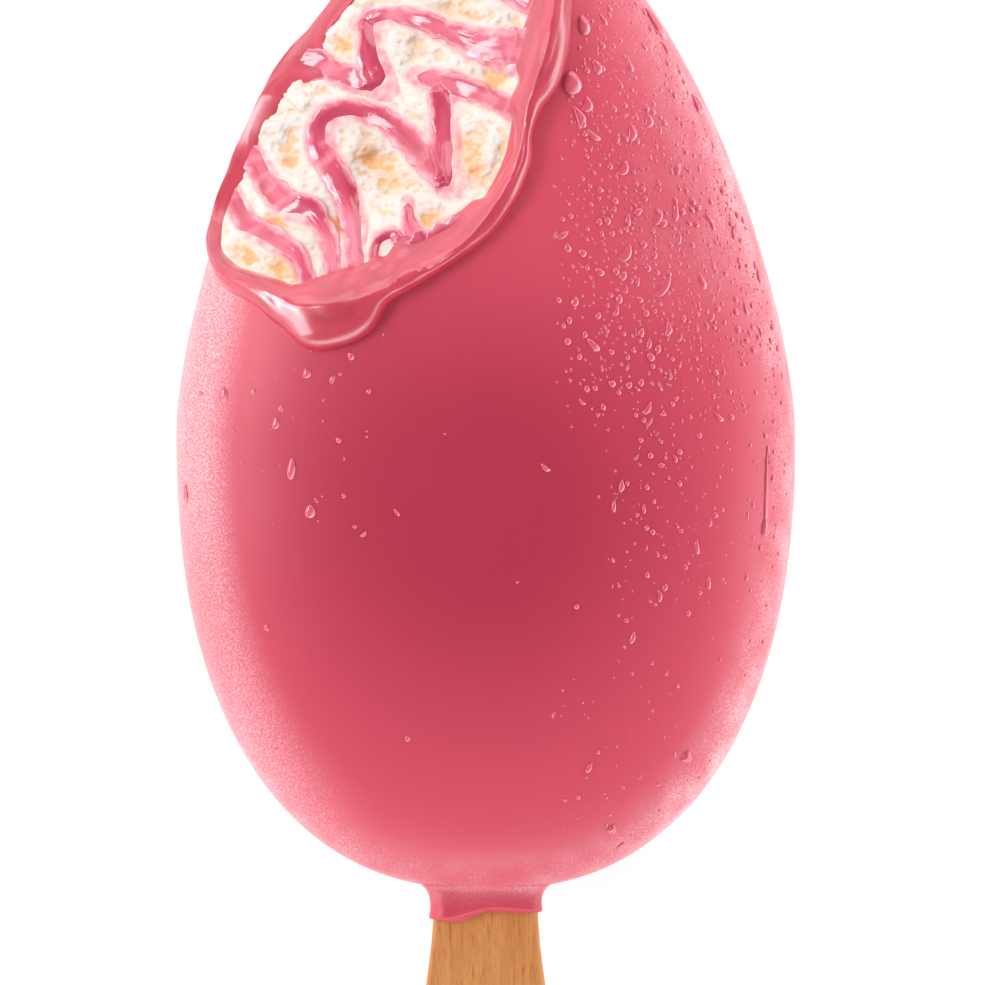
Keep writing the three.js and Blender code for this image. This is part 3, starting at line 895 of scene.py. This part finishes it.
across_cells, along_cells = [
    mid + size * (np.arange(TORN_CELLS + 1) / TORN_CELLS - 0.5) for mid, size in zip(BLOCK_MIDDLE, BLOCK_SIZE)
]
grid_x, grid_y = [side.ravel() for side in np.meshgrid(across_cells, along_cells, indexing="ij")]
gap = from_sauce(grid_x, grid_y)
calm = 0.15 + 0.85 * smooth(gap, -0.1, 1.0)
inside_rim = smooth(1 - bite_share(grid_x, grid_y), -0.03, 0.07)
relief = (foam(grid_x, grid_y) * calm - hollows(grid_x, grid_y)) * inside_rim
relief, gap = [values.reshape(TORN_CELLS + 1, -1) for values in (relief, gap)]
print("The foam is", round(float(relief.max() - relief.min()), 1), "mm deep in all")


# %% Where painted warm shade lies on the cream
BROAD_CELLS, FINE_CELLS = 16, 4
LEE_X, LEE_Y = -0.76, 0.26
BROAD_SHADE, FINE_SHADE, LEE_SHADE, HOLLOW_SHADE = 0.3, 0.5, 0.8, 1.2


def blurred(values, cells):
    """Each value becomes the mean of its neighbours, up to so many cells away."""
    for axis in (0, 1):
        values = sum(np.roll(values, i, axis) for i in range(-cells, cells + 1)) / (2 * cells + 1)
    return values


def read_grid(values, x, y):
    """The values of the grid's cells nearest to some places."""
    i = np.rint((x - across_cells[0]) / BLOCK_SIZE[0] * TORN_CELLS).astype(int).clip(0, TORN_CELLS)
    j = np.rint((y - along_cells[0]) / BLOCK_SIZE[1] * TORN_CELLS).astype(int).clip(0, TORN_CELLS)
    return values[i, j]


torn_face = torn_base(grid_x, grid_y).reshape(relief.shape) + relief
broad, fine = [blurred(torn_face, cells) - torn_face for cells in (BROAD_CELLS, FINE_CELLS)]
rise_x, rise_y = np.gradient(blurred(torn_face, 1), across_cells, along_cells)
slope = LEE_X * rise_x + LEE_Y * rise_y
# Painted shade: tan in hollows and creases and on slopes that face away from the left softbox
painted_shade = BROAD_SHADE * smooth(broad, 0.0, 0.5) + FINE_SHADE * smooth(fine, 0.0, 0.06)
painted_shade += LEE_SHADE * smooth(slope, -0.3, 0.8)

# %% The torn core
core = carve(
    shape(ball(5), inside_coat),
    ("DIFFERENCE", bite_block(lambda x, y: torn_base(x, y) + read_grid(relief, x, y), TORN_CELLS)),
)
x, y, _ = points_of(core).T
tint(core, "painted_warm_shade", np.clip(read_grid(painted_shade, x, y) + HOLLOW_SHADE * hollows(x, y), 0, 1))
tint(core, "stain", 1 - smooth(read_grid(gap, x, y), -0.1, 0.45))

# %% Vanilla
vanilla, tree = new_finish("vanilla_ice_cream")
place = object_place(tree)
# The painted warm shade mixes the cream towards tan
warm_shade_share = both(tree, stored(tree, "painted_warm_shade"), stretch(tree, blotches(tree, place, 210), 0.38, 0.62, 0.55, 1.2))
cream = blend(tree, warm_shade_share, colour(217, 208, 201), colour(226, 168, 114))
smear = stretch(tree, blotches(tree, place, 900, 3), 0.3, 0.7, 0.1, 1.0)
stained = blend(tree, both(tree, stored(tree, "stain"), smear), cream, colour(238, 128, 146))
grain = blotches(tree, place, 2400, 4, 0.65)
surface(tree, Base_Color=stained, Normal=bumps(tree, grain, 0.35, 0.00012), Roughness=0.5, IOR=1.35)
hand_over(core, "torn_ice_cream", vanilla, "ice_cream", "ice_cream", sharp=np.radians(80))

# %% [markdown]
# ## The veins of sauce
#
# Each strand of a vein is a ball again, drawn out along its run: a flat dome with soft ridges on top, where
# the sauce was pulled, and a keel that goes down into the ice cream. A voxel remesh melts the strands of one
# vein together where they meet, and a little smoothing makes it flow. Three numbers are stored at each
# point: how far across and along the vein it is, which the streaks follow, and how near its edge, where the
# sauce is thin and pale.

# %% Raspberry sauce
raspberry, tree = new_finish("raspberry_sauce")
lane = node(tree, "Math", {0: stored(tree, "along"), 1: 0.14}, operation="MULTIPLY")
flow = node(tree, "CombineXYZ", {"X": stored(tree, "across"), "Y": lane})
streak = stretch(tree, blotches(tree, flow, 0.8, swirl=0.6), 0.34, 0.66)
red = blend(tree, streak, colour(186, 34, 70), colour(212, 76, 108))
ragged = blotches(tree, object_place(tree), 700)
thin = node(tree, "Math", {0: stored(tree, "edge"), 1: ragged}, operation="ADD")
faded = blend(tree, stretch(tree, thin, 1.05, 1.6, 0.0, 0.75), red, colour(244, 178, 188))
wavy = bumps(tree, blotches(tree, flow, 1.6), 0.35, 0.0003)
surface(tree, Base_Color=faded, Normal=wavy, Coat_Normal=wavy, Roughness=0.3, IOR=1.45,
        Subsurface_Weight=0.15, Subsurface_Scale=0.0008, Subsurface_Radius=(1.0, 0.3, 0.4),
        Coat_Weight=1.0, Coat_Roughness=0.1, Coat_IOR=1.6)

# %% One strand
PROUD, KEEL = 0.36, 2.5
RIDGES, RIDGE_TALL = 4, 0.06
RAGGED = 0.35


def strand_shape(p, chain):
    """A lying ball's points, drawn out along a chain."""
    ring = np.hypot(p[:, 0], p[:, 2])
    share = np.arctan2(ring, p[:, 1]) / np.pi
    side, up = p[:, 0] / np.maximum(ring, TINY), p[:, 2] / np.maximum(ring, TINY)
    x, y, width = run(chain, share).T
    ahead, behind = run(chain, np.minimum(share + 0.01, 1)), run(chain, np.maximum(share - 0.01, 0))
    heading = unit((ahead - behind) * [1, 1, 0])
    blunt = np.minimum(1, len(chain) * ring)
    pull = waves(x / 2.6, y / 2.6, 5)
    edge = waves(x / 1.1, y / 1.1, 9 + 3 * np.sign(side))
    half = width / 2 * (1 + RAGGED * edge) * blunt * side
    flat = np.abs(up) * (1 + RIDGE_TALL * np.cos(RIDGES * side + 5 * pull))
    tall = np.where(up > 0, PROUD * flat, -KEEL * np.abs(up)) * blunt
    return np.column_stack([x - heading[:, 1] * half, y + heading[:, 0] * half, torn_base(x, y) + tall])


# %% The strands of a vein, melted together
VOXEL = 0.11
SOFTENED = 3


def melted(chains):
    """One skin round the strands of all the chains."""
    strands = bmesh.new()
    for chain in chains:
        blank = lying_ball(32, 20 * len(chain))
        strand = as_mesh(facing_out(shape(blank, lambda p: strand_shape(p, chain))), "strand")
        strands.from_mesh(strand)
        bpy.data.meshes.remove(strand)
    vein = into_scene("strands", as_mesh(strands, "strands"))
    melt = vein.modifiers.new("melt", "REMESH")
    melt.mode, melt.voxel_size = "VOXEL", VOXEL
    skin = finished(vein)
    every_way = {"use_axis_x": True, "use_axis_y": True, "use_axis_z": True}
    for _ in range(SOFTENED):
        bmesh.ops.smooth_vert(skin, verts=skin.verts, factor=0.5, **every_way)
    return skin


# %% Every vein
for name, chains in VEINS.items():
    vein = carve(melted(chains), ("INTERSECT", shape(ball(5), inside_coat)))
    places = points_of(vein)[:, :2]
    nearest = np.array([sauce_tree.find((a, b, 0))[1] for a, b in places.tolist()])
    off, heading = places - sauce_line[nearest, :2], sauce_heading[nearest]
    tint(vein, "across", off[:, 0] * heading[:, 1] - off[:, 1] * heading[:, 0])
    tint(vein, "edge", np.hypot(*off.T) / (sauce_line[nearest, 2] / 2))
    tint(vein, "along", sauce_length[nearest])
    hand_over(vein, f"raspberry_{name}", raspberry, "raspberry", f"raspberry_vein_{name}")

# %% [markdown]
# ## The lip of sauce
#
# Round the broken edge the warm coat and the sauce have slumped into one glossy lip: a fat roll with a drip
# at the lower left. A circle spun once round makes a ring, which is then bent along the edge. Its outer half
# lies on the coat and its inner half on the torn face, and where a vein meets the lip it draws the lip
# inward.

# %% The lip's sizes round the bite
LIP = [  # angle, over the coating, over the ice cream, height
    (-180, 1.2, 0.8, 1.3), (-170, 1.3, 0.5, 1.3), (-160, 1.2, 0.5, 1.1), (-151, 0.9, 0.5, 0.9),
    (-146, 1.0, 0.5, 0.9), (-140, 1.3, 0.7, 1.1), (-132, 1.6, 0.9, 1.5), (-125, 1.4, 1.3, 1.8),
    (-118, 2.4, 1.7, 2.1), (-110, 3.9, 2.4, 2.4), (-104, 3.9, 2.7, 2.4), (-97, 3.0, 2.5, 2.2),
    (-91, 1.6, 2.6, 1.9), (-84, 1.0, 2.5, 1.7), (-70, 0.9, 2.4, 1.5), (-58, 1.0, 2.1, 1.4),
    (-45, 1.3, 1.5, 1.4), (-28, 1.5, 0.9, 1.6), (-17, 1.5, 0.8, 1.6), (-7, 1.0, 0.8, 1.4),
    (5, 1.5, 1.3, 1.8), (14, 2.5, 1.7, 2.0), (25, 2.5, 2.1, 2.0), (42, 1.9, 2.0, 1.7),
    (62, 1.5, 1.0, 1.4), (90, 1.2, 0.7, 1.2), (120, 1.1, 0.5, 1.1), (131, 1.2, 0.8, 1.2),
    (140, 1.2, 1.9, 1.4), (150, 1.2, 2.0, 1.4), (162, 1.2, 1.4, 1.4), (172, 1.2, 0.9, 1.3),
]
lip_angles = np.radians([row[0] for row in LIP])
lip_over, lip_inner, lip_tall = [round_curve(lip_angles, [row[i] for row in LIP]) for i in (1, 2, 3)]

# %% Where a vein draws the lip inward
PULL_REACH = 6

around = np.linspace(-np.pi, np.pi, 361)
edge = edge_point(around)
foot = edge + unit((BITE - edge) * [1, 1, 0]) * lip_inner(around)[:, None]
meets_vein = 1 - smooth(from_sauce(foot[:, 0], foot[:, 1]), -0.3, 1.0)
sauce_pull = sum(np.roll(meets_vein, i) for i in range(-PULL_REACH, PULL_REACH + 1))
sauce_pull = sauce_pull / (2 * PULL_REACH + 1)
print("Veins meet the lip along", int(meets_vein.sum()), "degrees of its round")

# %% The lip's shape
RING = 3
SUNK = 0.6
DRAWN = 0.5
CREST = 0.05
FOLDS, FOLD_TALL = 5, 0.04


def lip_shape(p):
    """A ring's points, moved on to the roll that follows the edge of the bite."""
    angle = np.arctan2(p[:, 1], p[:, 0])
    side, up = np.hypot(p[:, 0], p[:, 1]) - RING, p[:, 2]
    at = edge_point(angle)
    outward, inward = outward_at(at), unit((BITE - at) * [1, 1, 0])
    away = unit(np.cross(edge_point(angle + 0.04) - edge_point(angle - 0.04), outward))
    away *= np.sign(np.sum(away * (at - BITE), axis=1))[:, None]

    x, y, _ = at.T
    wave, ripple = waves(x / 3.2, y / 3.2, 2), waves(x / 1.7, y / 1.7, 4)
    fold = waves(x / 7, y / 7, 6 + 1.7 * side + 0.6 * wave)
    crest = CREST + 0.15 * wave
    off = (side - crest) / np.where(side > crest, 1 - crest, 1 + crest)
    roll = np.sqrt(np.clip(1 - off**2, 0, 1)) + FOLD_TALL * np.cos(FOLDS * side + 7 * fold) * up**2
    fat = lip_tall(angle) * (1 + 0.12 * wave) * np.where(up > 0, roll, -SUNK * np.abs(up))

    lively = 0.15 + 0.3 * smooth(-x, 15, 19)
    over = side * lip_over(angle) * (1 + lively * wave)
    drawn = DRAWN * np.interp(angle, around, sauce_pull)
    under = side * lip_inner(angle) * (1 + 0.35 * wave + 0.2 * ripple + drawn)
    on_coat = on_surface(at + away * over[:, None])
    on_face = at - inward * under[:, None]
    on_face[:, 2] = torn_base(on_face[:, 0], on_face[:, 1])
    return np.where((side > 0)[:, None], on_coat, on_face) + outward * fat[:, None]


# %% Sauce mixed with coating
lip_sauce, tree = new_finish("lip_sauce")
lane = stored(tree, "lane", output="Vector")
swirl = stretch(tree, blotches(tree, lane, 1.6, 3, swirl=0.6), 0.35, 0.65)
rose = blend(tree, swirl, colour(180, 38, 62), colour(202, 58, 82))
surface(tree, Base_Color=rose, Roughness=0.3, IOR=1.46,
        Subsurface_Weight=0.15, Subsurface_Scale=0.001, Subsurface_Radius=(1.0, 0.4, 0.4),
        Coat_Weight=1.0, Coat_Roughness=0.18, Coat_IOR=1.52)

# %% The lip itself
LANE_ROUND = 1.6

lip = bmesh.new()
circle = bmesh.ops.create_circle(lip, segments=64, radius=1)["verts"]
bmesh.ops.rotate(lip, matrix=Matrix.Rotation(np.pi / 2, 3, "X"), verts=circle)
bmesh.ops.translate(lip, vec=(RING, 0, 0), verts=circle)
bmesh.ops.spin(lip, geom=lip.verts[:] + lip.edges[:], axis=(0, 0, 1), cent=(0, 0, 0), angle=TURN, steps=720,
               use_merge=True)
x, y, _ = points_of(lip).T
turn = np.arctan2(y, x)
lanes = np.column_stack([LANE_ROUND * np.cos(turn), LANE_ROUND * np.sin(turn), np.hypot(x, y) - RING])
layer = lip.verts.layers.float_vector.new("lane")
for vert, lane in zip(lip.verts, lanes.tolist()):
    vert[layer] = lane
facing_out(shape(lip, lip_shape))
lip_piece = hand_over(lip, "sauce_lip_roll", lip_sauce, "lip_sauce", "sauce_lip")

# %% [markdown]
# A broad roll needs a broad highlight, broader than the softboxes give. A large card is hung on the left for
# the lip alone: nothing else receives its light, and the lip shows it only as a reflection.

# %% A card for the lip
card = softbox("lip_card", (-0.5, -0.14, 0.34), (0.56, 0.36), 4.2)
card.visible_diffuse = False
card.light_linking.receiver_collection = bpy.data.collections.new("lip_only")
card.light_linking.receiver_collection.objects.link(lip_piece)

# %% [markdown]
# ## The wood
#
# Beech has fine straight grain along the stick and short darker flecks, the pores. Noise stretched along the
# stick gives the grain, and a second, sharper noise gives the flecks.

# %% Beech
beech, tree = new_finish("beech")
place = object_place(tree)
along = node(tree, "Mapping", {"Vector": place, "Scale": (1, 0.08, 1)})
band = blotches(tree, along, 2200, 4, 0.6)
wood = blend(tree, band, colour(172, 94, 38), colour(228, 162, 96))
pore = blotches(tree, node(tree, "Mapping", {"Vector": place, "Scale": (1, 0.12, 1)}), 4200)
flecked = blend(tree, stretch(tree, pore, 0.58, 0.7, 0.0, 0.7), wood, colour(176, 92, 34))
surface(tree, Base_Color=flecked, Normal=bumps(tree, pore, 0.3, 0.00005), Roughness=0.55, IOR=1.45)

# %% The paddle
TUMBLED = 0.45

paddle = stick()
long_edges = [e for e in paddle.edges if abs(e.verts[0].co.z - e.verts[1].co.z) < 1e-6]
bmesh.ops.bevel(paddle, geom=long_edges, offset=TUMBLED, segments=3, affect="EDGES", profile=0.5, material=-1)
hand_over(paddle, "paddle_stick", beech, "stick_wood", "stick")

# %% [markdown]
# ## Beads of water
#
# In warm air the cold coat sweats. The dew gathers on the upper right, where the bar was held in the air:
# hundreds of small beads, some drawn out or bent as they began to slide, and a few large ones. Each is a
# flattened ball with few faces, set half into the coat. A bead is a lens that gathers the light of the left
# box on its far side; that is painted: each point stores how far to that side it is, and the finish is
# painted paler there as a highlight and darker on the near side as shade. A rule says how wet each place
# is, and seeded random draws choose the places, so the same beads come each time.

# %% Water on strawberry
dew, tree = new_finish("dew")
lit = stored(tree, "lit")
# Painted light: each bead is painted darker on its near side as shade and paler on its far side as a
# highlight
painted_crescent = blend(tree, stretch(tree, lit, -1.0, 0.0), colour(196, 60, 84), colour(214, 80, 102))
painted_crescent = blend(tree, stretch(tree, lit, 0.35, 0.85, 0.0, 0.7), painted_crescent, colour(255, 186, 194))
surface(tree, Base_Color=painted_crescent, Roughness=0.06, IOR=1.33, Coat_Weight=1.0, Coat_Roughness=0.03, Coat_IOR=1.6)

# %% One bead
BEAD_TALL = 0.28
TAPER = 0.25
FAR_SIDE = Vector((0.75, -0.66, 0))


def bead(bm, x, y, wide, long, lean=0.0, bend=0.0, subdivisions=2):
    """A bead of water on the coat at x, y: its width and length, how it leans and how much it is bent."""
    z = front_height(np.array([x]), np.array([y]))[0]
    at = Vector((x, y, z))
    out = Vector(outward_at(np.array([[x, y, z]]))[0])
    down = Vector((np.sin(lean), np.cos(lean), 0))
    down = (down - out * down.dot(out)).normalized()
    across = down.cross(out)
    tall = BEAD_TALL * wide
    lit = bm.verts.layers.float.get("lit") or bm.verts.layers.float.new("lit")
    for vert in bmesh.ops.create_icosphere(bm, subdivisions=subdivisions, radius=1)["verts"]:
        a, b, c = vert.co
        vert[lit] = (across * a + down * b).dot(FAR_SIDE)
        a += bend * (1 - b * b)
        a *= 1 - TAPER * b
        vert.co = at + across * (a * wide / 2) + down * (b * long / 2) + out * (c * tall)


# %% Where it is wet
def wetness(x, y):
    """The chance of a bead: most on the upper right, some below it and few elsewhere."""
    shoulder = smooth(x, 5, 13) * smooth(y, -2, 10)
    side = 0.3 * smooth(x, 9, 15) * smooth(y, -22, -8)
    low = 0.1 * smooth(x, 3, 10) * smooth(-y, 16, 22)
    left = 0.03 * smooth(-x, 6, 12) * smooth(y, -14, -4)
    return np.maximum.reduce([shoulder, side, low, left, np.full_like(x, 0.002)])


# %% Small beads by chance
TRIES, CLEARANCE, CROWDING = 16000, 0.06, 0.3
BAR_EDGE, BITE_EDGE = 0.975, 1.22
SMALLEST, LARGER = 0.22, 0.55
BENT_FROM, SLID_FROM = 0.7, 0.86

draw = np.random.default_rng(11)
x, y = draw.uniform(-HALF_WIDTH, HALF_WIDTH, TRIES), draw.uniform(-BASE_REACH, TIP_REACH, TRIES)
wide = (SMALLEST + LARGER * draw.random(TRIES) ** 3) * (0.75 + 0.25 * smooth(y, -4, 12))
on_coat = (outline_share(x, y) < BAR_EDGE) & (bite_share(x, y) > BITE_EDGE)
chosen = (draw.random(TRIES) < wetness(x, y)) & on_coat

small = bmesh.new()
kept = []
for i in np.flatnonzero(chosen):
    apart = (x[i] - x[kept]) ** 2 + (y[i] - y[kept]) ** 2
    if (apart > (wide[i] + wide[kept] + CLEARANCE) ** 2 * CROWDING).all():
        kept.append(i)
        lively = draw.random()
        stretched = 1 + 0.5 * draw.random() + (1.2 if lively > SLID_FROM else 0)
        bend = draw.uniform(-0.9, 0.9) if lively > BENT_FROM else 0
        bead(small, x[i], y[i], wide[i], wide[i] * stretched, draw.normal(0, 0.5), bend)
hand_over(small, "small_beads", dew, "coating")
print(len(kept), "small beads")

# %% The large beads and the run
LARGE_BEADS = [  # x, y, width, length, lean, bend
    (9.4, 39.6, 1.2, 2.1, -0.1, 0.1), (8.3, 34.0, 1.8, 2.4, -0.1, 0.0), (8.8, 30.6, 0.9, 2.3, -0.3, 0.8),
    (9.6, 31.9, 1.0, 1.6, 0.3, 0.6), (10.6, 35.5, 0.9, 1.6, -0.3, 0.5), (14.0, 29.2, 0.9, 1.8, 0.1, 0.4),
    (15.6, 30.4, 0.9, 1.5, 0.1, 0.5), (13.2, 25.8, 0.8, 1.6, 0.5, 0.6), (13.4, 17.6, 0.8, 2.0, 0.6, 0.7),
    (17.1, 14.5, 0.7, 2.8, 0.6, 0.8), (18.3, 21.6, 0.6, 2.0, 0.1, 0.2), (16.6, 21.0, 0.7, 1.7, 0.6, 0.3),
    (-18.7, -3.2, 0.8, 2.1, 0.1, 0.0), (-16.9, -7.3, 1.0, 1.3, 0.0, 0.0), (-25.3, 4.0, 1.1, 1.5, 0.0, 0.0),
    (-17.3, 6.0, 0.8, 1.0, 0.0, 0.3), (-20.3, 1.2, 0.7, 1.2, 0.2, 0.4), (-29.0, -5.6, 0.8, 1.8, 0.0, 0.0),
    (16.4, 39.9, 1.3, 3.6, -0.46, 0.2), (20.5, 32.0, 1.3, 2.0, -0.42, 0.0), (27.1, -5.2, 0.55, 7.6, 0.0, 0.0),
    (27.0, -8.8, 1.1, 1.9, 0.0, 0.0), (12.2, -38.0, 0.9, 1.1, 0.0, 0.0), (19.4, -31.0, 1.2, 1.3, 0.0, 0.0),
]
large = bmesh.new()
for x, y, wide, long, lean, bend in LARGE_BEADS:
    bead(large, x, y, wide, long, lean, bend, subdivisions=4)
hand_over(large, "large_beads", dew, "coating")

# %% [markdown]
# ## The sizes
#
# Both boxes, the CAD model's and the dressed model's, are printed.

# %% Sizes
dressed_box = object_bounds()
for name, (low, high) in (("CAD", cad_box), ("dressed", dressed_box)):
    print(name, [round(x / MM, 2) for x in low], [round(x / MM, 2) for x in high])
